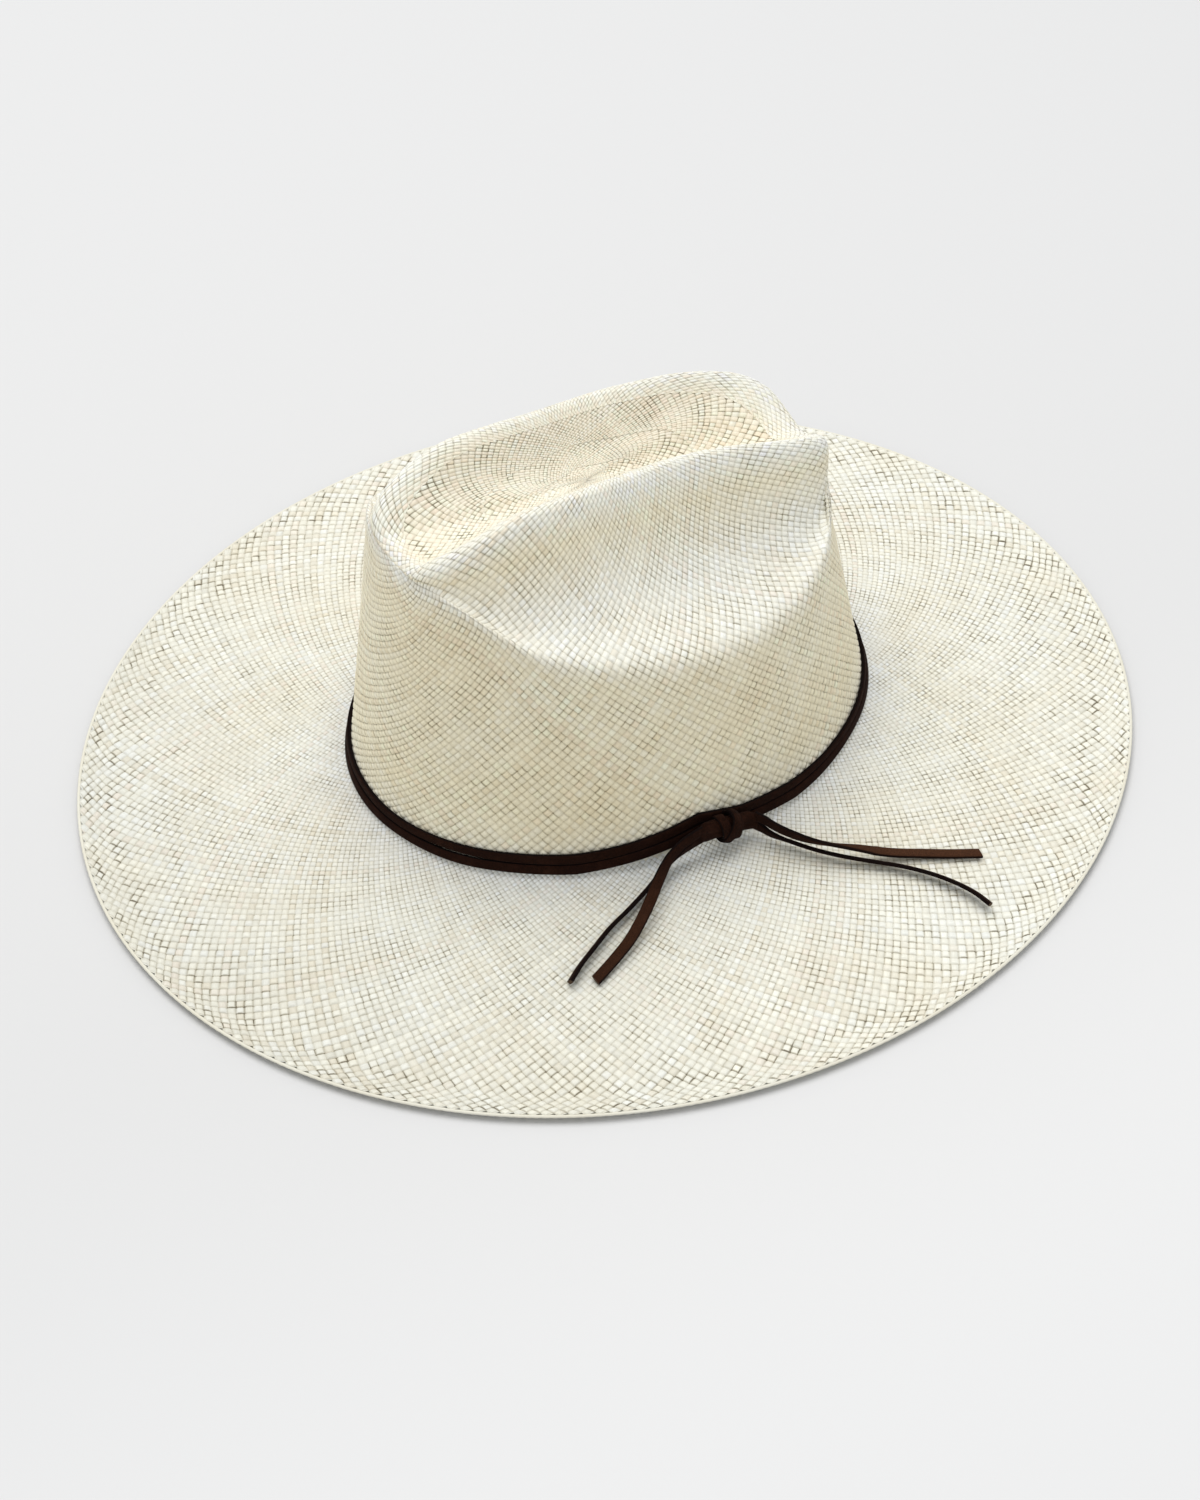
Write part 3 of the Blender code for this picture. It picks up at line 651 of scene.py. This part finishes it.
def make_straw(straw):
    brim = Surface(0.0, BREAK_ROW, 1584, 500)
    dome = ([9.5, 12.0], [0.0, DOME_SHARE])
    crown = Surface(BREAK_ROW - 0.25, DENT_ROW, 888, 600, dome)
    dent = Surface(DENT_ROW - 0.30, 20.0, 900, 300, ([0.0], [0.30]))
    squat = ([0.0, 0.8 * BORDER, 1.1 * BORDER, 1.0], [0.72, 0.72, 1.0, 1.0])
    # bold deepens the painted gap shade in two rows of the brim's border
    bold = ([0.0, 0.2 * BORDER, 0.30 * BORDER, 0.45 * BORDER, 0.55 * BORDER, 0.95 * BORDER,
             1.05 * BORDER, 1.25 * BORDER, 1.4 * BORDER, 1.0],
            [0.0, 0.0, 0.9, 0.9, 0.0, 0.0, 0.9, 0.9, 0.0, 0.0])
    # Painted shade: a bluish tint on the brim by the crown's foot
    brim_tints = [(0.0, PLAIN), (3.5, PLAIN), (5.5, FOOT_PAINTED_SHADE)]
    # Painted shade along X on the brim: darker towards the back, deeper gap shade at the front
    Weave(brim, 0.007, 1.0, BRIM_STRAWS, squat=squat, bold=bold, tints=brim_tints,
          shade_along_x=True).build("brim_weave", straw, 2)
    # Painted light and shade up the crown: warm bounce light on the walls, cool top light on the side
    # dishes, a highlight along the ridge's lip, light in the dent
    tints = [(6.0, PLAIN), (8.0, WALL_PAINTED_BOUNCE), (10.3, WALL_PAINTED_BOUNCE), (11.2, DISH_PAINTED_TOPLIGHT), (12.6, DISH_PAINTED_TOPLIGHT), (13.6, WALL_PAINTED_BOUNCE),
             (14.2, LIP_PAINTED_HIGHLIGHT), (15.2, LIP_PAINTED_HIGHLIGHT), (16.0, DENT_PAINTED_LIGHT)]
    Weave(crown, 0.0, 1.0, CROWN_STRAWS, tints=tints).build("crown_weave", straw, 2)
    # Painted highlight on the lip and painted light in the dent
    dent_tint = [(15.2, LIP_PAINTED_HIGHLIGHT), (16.0, DENT_PAINTED_LIGHT), (20.0, DENT_PAINTED_LIGHT)]
    for number, (start, end, straws) in enumerate(((0.0, 0.45, 124), (0.42, 0.76, 80),
                                                   (0.73, 0.998, 40))):
        # bold deepens the painted gap shade all over the dent
        Weave(dent, start, end, straws, tints=dent_tint, bold=([0.0, 1.0], [0.75, 0.75]),
              offset=-0.0002 * (number + 1)).build(f"dent_weave_{number + 1}", straw)
    Weave(brim, 0.012, 1.0, BRIM_STRAWS, offset=-LINING_DEPTH, lining=True,
          sub=2).build("brim_underside", straw)
    Weave(crown, 0.0, 1.0, CROWN_STRAWS, offset=-LINING_DEPTH, lining=True,
          sub=2).build("crown_lining", straw)
    Weave(dent, 0.0, 0.8, 150, offset=-LINING_DEPTH, lining=True, sub=2).build("dent_lining",
                                                                               straw)
    make_rim(brim, straw)


RIM_STATIONS = 2112
RIM_SIDES = 12
RIM_RADIUS = 0.00052


def make_rim(brim, straw):
    """The brim's finished edge: straws turned back and twisted into one thin rounded cord."""
    turns = np.arange(RIM_STATIONS) / RIM_STATIONS
    middle = brim.read(brim.points, turns, np.full(RIM_STATIONS, 0.005))
    outward = unit(middle * np.array([1.0, 1.0, 0.0]))
    angle = TURN * np.arange(RIM_SIDES) / RIM_SIDES
    twist = np.cos(TURN * BRIM_STRAWS * 1.5 * turns[:, None] + angle[None, :])
    radius = RIM_RADIUS * (1.0 + 0.07 * twist)
    across = 1.25 * radius * np.cos(angle)[None, :]
    rise = radius * np.sin(angle)[None, :]
    points = (middle[:, None] + across[..., None] * outward[:, None]
              + (rise - 0.00060)[..., None] * np.array([0.0, 0.0, 1.0]))
    points[..., 2] = np.maximum(points[..., 2], 0.00002)
    faces, cells = [], []
    for r in range(RIM_STATIONS):
        r2 = (r + 1) % RIM_STATIONS
        for k in range(RIM_SIDES):
            k2 = (k + 1) % RIM_SIDES
            faces.append((r * RIM_SIDES + k, r2 * RIM_SIDES + k, r2 * RIM_SIDES + k2,
                          r * RIM_SIDES + k2))
    mesh = bpy.data.meshes.new("rim_edge")
    mesh.from_pydata(points.reshape(-1, 3).tolist(), [], faces)
    mesh.shade_smooth()
    cell = mesh.uv_layers.new(name="cell")
    cell.data.foreach_set("uv", np.full(len(mesh.loops) * 2, 0.5, np.float32))
    colour = mesh.attributes.new("straw_colour", "FLOAT_COLOR", "FACE")
    rgba = np.tile([*(0.92 * CREAM), 1.0], len(faces))
    colour.data.foreach_set("color", rgba.astype(np.float32))
    dress("rim_edge", mesh, straw, "hat_body", "straw_body")


# ---------------------------------------------------------------- straps

def smooth_route(route, count):
    """Evenly spaced points on a Catmull-Rom curve through the route's points."""
    points = np.array(route, float)
    points = np.concatenate([2 * points[:1] - points[1:2], points, 2 * points[-1:] - points[-2:-1]])
    fine = []
    for a, b, c, d in zip(points, points[1:], points[2:], points[3:]):
        for t in np.linspace(0.0, 1.0, 24, endpoint=False):
            fine.append(0.5 * (2 * b + (c - a) * t + (2 * a - 5 * b + 4 * c - d) * t ** 2
                               + (3 * b - a - 3 * c + d) * t ** 3))
    fine.append(points[-2])
    fine = np.array(fine)
    length = np.concatenate([[0.0], np.cumsum(np.linalg.norm(np.diff(fine, axis=0), axis=1))])
    even = np.linspace(0.0, length[-1], count)
    return np.stack([np.interp(even, length, fine[:, k]) for k in range(3)], -1)


STRAP_SIDES = 20
STRAP_SQUARENESS = 4.5


def tube_faces(rings, sides):
    """Faces of a closed tube: four-sided ones from ring to ring, then its two ends."""
    faces = [(r * sides + k, r * sides + (k + 1) % sides, (r + 1) * sides + (k + 1) % sides,
              (r + 1) * sides + k) for r in range(rings - 1) for k in range(sides)]
    faces.append(tuple(range(sides))[::-1])
    faces.append(tuple((rings - 1) * sides + k for k in range(sides)))
    return faces


def strap(name, path, wide, width, thickness, material, body, node, ends=(0.0, 0.0),
          painted_light=0.0):
    """A flat lace swept along a path; wide holds the direction of its width at each point.

    ends are how far each cut end slants, as a share of the width, and the last argument is how far
    the suede is painted paler at each point, as painted light."""
    path = np.asarray(path)
    tangent = unit(np.gradient(path, axis=0))
    wide = unit(wide - tangent * (wide * tangent).sum(1, keepdims=True))
    thick = np.cross(tangent, wide)
    c, s = squircle(TURN * (np.arange(STRAP_SIDES) + 0.5) / STRAP_SIDES, STRAP_SQUARENESS)
    width = np.broadcast_to(width, len(path))
    points = (path[:, None] + 0.5 * width[:, None, None] * c[None, :, None] * wide[:, None]
              + 0.5 * thickness * s[None, :, None] * thick[:, None])
    slant = 0.5 * width[:, None] * c[None, :]
    points[0] += tangent[0] * ends[0] * slant[0][:, None]
    points[-1] += tangent[-1] * ends[1] * slant[-1][:, None]
    count = len(path)
    faces = tube_faces(count, STRAP_SIDES)
    mesh = bpy.data.meshes.new(name)
    mesh.from_pydata(points.reshape(-1, 3).tolist(), [], faces)
    mesh.shade_smooth()
    mesh.set_sharp_from_angle(angle=math.radians(60.0))
    edge = mesh.attributes.new("edge", "FLOAT", "POINT")
    edge.data.foreach_set("value", np.tile(np.abs(c), count).astype(np.float32))
    # How far the suede is painted paler at each point: painted light
    painted_light_layer = mesh.attributes.new("painted_light", "FLOAT", "POINT")
    painted_light_layer.data.foreach_set("value", np.repeat(np.broadcast_to(painted_light, count),
                                             STRAP_SIDES).astype(np.float32))
    face = mesh.attributes.new("cut", "FLOAT", "FACE")
    cut = np.zeros(len(faces), np.float32)
    cut[-2:] = 1.0
    face.data.foreach_set("value", cut)
    return dress(name, mesh, material, body, node)


def dress(name, mesh, material, body, node):
    mesh.materials.append(material)
    obj = bpy.data.objects.new(name, mesh)
    bpy.context.scene.collection.objects.link(obj)
    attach(obj, body)
    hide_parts(node)
    return obj


def suede_material():
    """Dark brown suede lace: short nap, paler in scuffed patches, painted light on the flat tails,
    and a raw cut end.
    """
    n = Nodes("suede_lace")
    place = n.position()
    nap = n.noise(place, 2600.0, 3.0, 0.6)
    rub = n.noise(place, 240.0, 4.0, 0.6)
    lay = n.noise(place, 60.0, 2.0)
    colour = n.mix(n.ramp(nap, 0.30, 0.72), (0.006, 0.002, 0.001, 1), (0.025, 0.008, 0.004, 1))
    colour = n.mix(n.ramp(rub, 0.45, 0.75, 0.0, 0.5), colour, (0.036, 0.013, 0.007, 1))
    colour = n.mix(n.ramp(lay, 0.40, 0.65, 0.0, 0.35), colour, (0.012, 0.004, 0.003, 1))
    # Painted light: paler suede on the flat tails, which lie facing up
    painted_light = n.math("MULTIPLY", n.attribute("painted_light"), n.ramp(nap, 0.25, 0.75, 0.35, 1.0))
    colour = n.mix(painted_light, colour, (0.100, 0.042, 0.021, 1))
    edge = n.attribute("edge")
    colour = n.mix(n.ramp(edge, 0.86, 0.98, 0.0, 0.85), colour, (0.005, 0.003, 0.003, 1))
    colour = n.mix(n.math("MULTIPLY", n.attribute("cut"), 0.7), colour, (0.110, 0.070, 0.045, 1))
    height = n.math("ADD", nap, n.math("MULTIPLY", rub, 0.8))
    return n.finish(colour, n.ramp(nap, 0.2, 0.8, 0.82, 0.95), n.bump(height, 0.00025, 0.9),
                    Sheen_Weight=0.01, Sheen_Roughness=0.4, Specular_IOR_Level=0.06)


def wall_points(phi, heights, out):
    """Points on the crown wall at heights, moved out by a distance; phi and heights are arrays."""
    rows = np.linspace(5.5, 9.0, 141)
    table = straw_surface(phi, rows)
    x = np.array([np.interp(h, line[:, 2], line[:, 0])
                  for h, line in zip(heights, table.transpose(1, 0, 2))])
    y = np.array([np.interp(h, line[:, 2], line[:, 1])
                  for h, line in zip(heights, table.transpose(1, 0, 2))])
    outward = unit(np.stack([np.cos(phi) / CROWN_HALF_LENGTH, np.sin(phi) / CROWN_HALF_WIDTH], -1))
    return np.concatenate([np.stack([x, y], -1) + out * outward, heights[:, None]], 1)


def lace_rise(phi):
    """The laces climb the crown as they come up to the knot, which sits near 267 degrees."""
    return np.interp(np.degrees(phi) % 360.0, [235.0, 248.0, 255.0, 262.0, 272.0, 286.0],
                     [0.0, 0.0024, 0.0042, 0.0070, 0.0028, 0.0])


def make_laces(suede):
    middle = math.asin(0.5 * (KNOT_RIGHT_X + KNOT_LEFT_X) / CROWN_HALF_LENGTH) - math.pi / 2
    phi = np.linspace(middle, middle + TURN, 720)
    # Away from the knot the laces turn a little on edge, so that their faces look narrower
    turned = [0.0, 180.0, 205.0, 235.0, 266.0, 280.0, 296.0, 330.0, 360.0]
    for name, bottom, seed, settle, shares in (
            ("lower_lace_suede", LOWER_LACE_BOTTOM, 0.4, 0.0,
             [.90, .85, .90, 1.0, 1.0, 1.0, .90, .85, .90]),
            ("upper_lace_suede", LOWER_LACE_BOTTOM + LACE_WIDTH + LACE_GAP, 2.1, 0.4,
             [.75, .75, .80, 1.0, 1.0, .85, .60, .55, .75])):
        wave = 0.00012 * np.sin(5 * phi + seed) + 0.00010 * np.sin(13 * phi + 3 * seed)
        low = bottom + lace_rise(phi) + wave
        out = LACE_GAP + 0.5 * LACE_THICKNESS + 0.00012 * np.sin(9 * phi + seed)
        width = LACE_WIDTH * np.interp(np.degrees(phi) % 360.0, turned, shares)
        low = low - settle * (LACE_WIDTH - width)
        foot = wall_points(phi, low, out[:, None])
        head = wall_points(phi, low + width, out[:, None])
        strap(name, 0.5 * (foot + head), head - foot, width, LACE_THICKNESS, suede,
              "hatband", name.replace("_suede", ""))


def make_tails(suede):
    """Four loose tails, each a lace of its own, turned from on edge at the knot to flat."""
    flat_turn = ([0.0, 0.20, 0.55, 1.0], [0.0, 15.0, 90.0, 90.0])
    left_edge_turn = ([0.0, 0.15, 1.0], [0.0, -32.0, -32.0])
    right_edge_turn = ([0.0, 0.15, 1.0], [0.0, 44.0, 44.0])
    # pale is painted light: the flat tails, which lie face up, are painted paler towards their ends;
    # the tails on edge are not
    for name, route, turns, body, slant, pale in (
            ("left_flat_tail", LEFT_FLAT_ROUTE, flat_turn, "left_tails", -0.3, 0.35),
            ("left_edge_tail", LEFT_EDGE_ROUTE, left_edge_turn, "left_tails", 0.2, 0.0),
            ("right_flat_tail", RIGHT_FLAT_ROUTE, flat_turn, "right_tails", 0.25, 0.8),
            ("right_edge_tail", RIGHT_EDGE_ROUTE, right_edge_turn, "right_tails", 0.2, 0.0)):
        path = smooth_route(route, 120)
        tangent = unit(np.gradient(path, axis=0))
        up = np.array([0.0, 0.0, 1.0])
        wide = unit(up - tangent * (tangent @ up)[:, None])
        side = np.cross(tangent, wide)
        angle = np.radians(np.interp(np.linspace(0.0, 1.0, len(path)), *turns))[:, None]
        wide = wide * np.cos(angle) + side * np.sin(angle)
        # Painted light, paler from a fifth to three fifths of the way along the tail
        painted_light = np.interp(np.linspace(0.0, 1.0, len(path)), [0.2, 0.6], [0.0, pale])
        piece = strap(name + "_suede", path, wide, LACE_WIDTH, LACE_THICKNESS, suede, body, name,
                      (0.0, slant), painted_light)
        coarse = smooth_route(route, 36)


KNOT_SIDES = 28
KNOT_WRAP_WIDTH = 0.0038
KNOT_WRAP_THICKNESS = 0.0014


def make_knot(suede):
    """The knot: lace ends pinched together, with three turns of lace wrapped round them."""
    section = np.array([(KNOT_LEFT_X - .0026, -.0877, .0264, .0013, .0036),
                        (KNOT_LEFT_X, -.0877, .0266, .0019, .0044),
                        (-.0118, -.0878, .0264, .0023, .0040),
                        (-.0085, -.0881, .0258, .0025, .0040),
                        (-.0025, -.0883, .0244, .0026, .0040),
                        (.0012, -.0881, .0235, .0023, .0038),
                        (KNOT_RIGHT_X, -.0880, .0223, .0020, .0042),
                        (KNOT_RIGHT_X + .0026, -.0897, .0219, .0012, .0034)])
    bundle_x = np.linspace(section[0, 0], section[-1, 0], 30)
    core = np.stack([np.interp(bundle_x, section[:, 0], section[:, k]) for k in range(5)], 1)
    c, s = squircle(TURN * np.arange(KNOT_SIDES) / KNOT_SIDES, 2.8)
    fold = 1.0 - 0.16 * np.exp(-((np.abs(s) / 0.16) ** 2))
    points = [(x, y + d * c[k] * fold[k], z + h * s[k])
              for x, y, z, d, h in core for k in range(KNOT_SIDES)]
    mesh = bpy.data.meshes.new("knot_core")
    mesh.from_pydata(points, [], tube_faces(len(core), KNOT_SIDES))
    mesh.shade_smooth()
    dress("knot_core", mesh, suede, "hatband", "knot")
    for number, (x, slope, swell) in enumerate(((-.0076, -0.16, .0002), (-.0032, 0.20, .0006),
                                                (-.0054, 0.70, .0010))):
        turn = np.linspace(0.0, TURN, 61)
        y, z, d, h = (np.interp(x, section[:, 0], section[:, k]) for k in range(1, 5))
        ring_c, ring_s = squircle(turn, 2.6)
        path = np.stack([x + slope * h * ring_s, y + (d + 0.0006 + swell) * ring_c,
                         z + (h + 0.0004 + 0.8 * swell) * ring_s], 1)
        wide = np.tile([1.0, 0.0, -0.25 - 0.6 * slope], (len(path), 1))
        strap(f"knot_wrap_{number + 1}", path, wide, KNOT_WRAP_WIDTH, KNOT_WRAP_THICKNESS, suede,
              "hatband", "knot")


# ---------------------------------------------------------------- sweatband

def leather_material():
    n = Nodes("sweatband_leather")
    place = n.position()
    grain = n.noise(place, 900.0, 4.0, 0.6)
    patch = n.noise(place, 30.0, 3.0)
    colour = n.mix(n.ramp(patch, 0.35, 0.7), (0.30, 0.19, 0.11, 1), (0.36, 0.24, 0.145, 1))
    colour = n.mix(n.ramp(grain, 0.35, 0.75, 0.0, 0.4), colour, (0.20, 0.12, 0.07, 1))
    return n.finish(colour, n.ramp(grain, 0.2, 0.8, 0.42, 0.62), n.bump(grain, 0.00015, 0.6),
                    Specular_IOR_Level=0.4)


def band_points(phi, share, depth):
    """Points on the sweatband: share is how far up it, depth how far in from its outer face."""
    inset = -SWEATBAND_INSET - depth
    low = wall_points(phi, SWEATBAND_FOOT_HEIGHT + 0.0 * phi, inset[:, None])
    high = wall_points(phi, SWEATBAND_TOP + 0.0 * phi, inset[:, None])
    points = low + share[:, None] * (high - low)
    points[:, 2] = SWEATBAND_BOTTOM + share * (SWEATBAND_TOP - SWEATBAND_BOTTOM)
    return points


def closed_grid(name, rings):
    """Mesh over rings of points, closed round each ring and from the last ring to the first."""
    rows, count = rings.shape[:2]
    faces = [(r * count + c, r * count + (c + 1) % count, (r + 1) % rows * count + (c + 1) % count,
              (r + 1) % rows * count + c) for r in range(rows) for c in range(count)]
    mesh = bpy.data.meshes.new(name)
    mesh.from_pydata(rings.reshape(-1, 3).tolist(), [], faces)
    mesh.shade_smooth()
    return mesh


EDGE_TUCK = 0.004               # how far the corners of the leather's edges draw back, as a share


def make_sweatband(leather, thread):
    """Leather strip stitched inside the crown's foot: rolled edges, and a few soft ripples."""
    phi = np.arange(480) / 480 * TURN
    heights = np.linspace(0.0, 1.0, 13)
    bend = np.array([0.0, 0.30, 0.70, 1.0]) * SWEATBAND_THICKNESS
    ripple = 0.00010 * np.sin(11 * phi + 0.6) + 0.00006 * np.sin(29 * phi)
    section = [(share, 0.0) for share in heights[1:-1]]
    tuck = [EDGE_TUCK, 0.0, 0.0, EDGE_TUCK]
    section += [(1.0 - t, d) for t, d in zip(tuck, bend)]
    section += [(share, bend[-1]) for share in heights[-2:0:-1]]
    section += list(zip(tuck, bend[::-1]))
    rings = []
    for share, depth in section:
        slack = ripple * math.sin(math.pi * share) + 0.0001
        rings.append(band_points(phi, share + 0.0 * phi, depth + slack))
    mesh = closed_grid("sweatband_leather", np.array(rings)[::-1])
    band = dress("sweatband_leather", mesh, leather, "hat_body", "sweatband")
    turns = np.arange(STITCHES * 14) / (STITCHES * 14) * TURN
    swing = np.sin(STITCHES * turns)
    share = (STITCH_HEIGHT + STITCH_SWING * swing - SWEATBAND_BOTTOM) / (SWEATBAND_TOP
                                                                        - SWEATBAND_BOTTOM)
    middle = band_points(turns, share, SWEATBAND_THICKNESS + STITCH_OUT + 0.0 * turns)
    inward = -unit(middle * np.array([1.0, 1.0, 0.0]))
    run = unit(np.roll(middle, -1, 0) - np.roll(middle, 1, 0))
    across = np.cross(inward, run)
    rings = [middle + STITCH_RADIUS * (math.cos(a) * inward + math.sin(a) * across)
             for a in np.arange(10) / 10 * TURN]
    mesh = closed_grid("sweatband_thread", np.array(rings)[::-1])
    dress("sweatband_thread", mesh, thread, "hat_body", "sweatband_stitching")


def thread_material():
    n = Nodes("stitching_thread")
    place = n.position()
    twist = n.noise(place, 3500.0, 2.0)
    colour = n.mix(n.ramp(twist, 0.3, 0.7), (0.50, 0.45, 0.34, 1), (0.74, 0.70, 0.58, 1))
    return n.finish(colour, 0.75, n.bump(twist, 0.0001, 0.8))


FLOOR_HALF_SIZE = 6.0


def make_floor():
    n = Nodes("studio_floor")
    place = n.position()
    grain = n.noise(place, 4.0, 2.0)
    # Painted light: the floor is paler towards the camera and darker from under the hat back, against
    # the overhead light's falloff
    colour = n.mix(n.ramp(n.split(place)[1], -0.32, -0.02), (0.778, 0.775, 0.775, 1),
                   (0.712, 0.709, 0.709, 1))
    n.finish(colour, 0.9, n.bump(grain, 0.0001, 0.1), Specular_IOR_Level=0.1)
    mesh = bpy.data.meshes.new("floor")
    size = FLOOR_HALF_SIZE
    mesh.from_pydata([(-size, -size, 0), (size, -size, 0), (size, size, 0), (-size, size, 0)], [],
                     [(0, 1, 2, 3)])
    mesh.materials.append(n.material)
    floor = bpy.data.objects.new("floor", mesh)
    bpy.context.scene.collection.objects.link(floor)


def area_light(name, place, aim, size, power, colour=(1, 1, 1)):
    data = bpy.data.lights.new(name, "AREA")
    data.shape = "DISK"
    data.size = size
    data.energy = power
    data.color = colour
    light = bpy.data.objects.new(name, data)
    light.location = place
    light.rotation_euler = (Vector(aim) - Vector(place)).to_track_quat("-Z", "Y").to_euler()
    bpy.context.scene.collection.objects.link(light)


def make_lights():
    scene = bpy.context.scene
    scene.view_settings.view_transform = "Standard"
    world = bpy.data.worlds.new("studio")
    world.use_nodes = True
    world.node_tree.nodes["Background"].inputs["Color"].default_value = (0.955, 0.98, 1.0, 1)
    world.node_tree.nodes["Background"].inputs["Strength"].default_value = 0.66
    scene.world = world
    area_light("overhead", (0.0, 0.60, 2.6), (0, 0, 0), 2.5, 47.0, (1.0, 0.985, 0.965))


# ---------------------------------------------------------------- assembly

make_camera()

suede = suede_material()
make_tails(suede)
make_laces(suede)
make_knot(suede)

straw = straw_material()
make_straw(straw)

make_floor()
make_lights()
make_sweatband(leather_material(), thread_material())
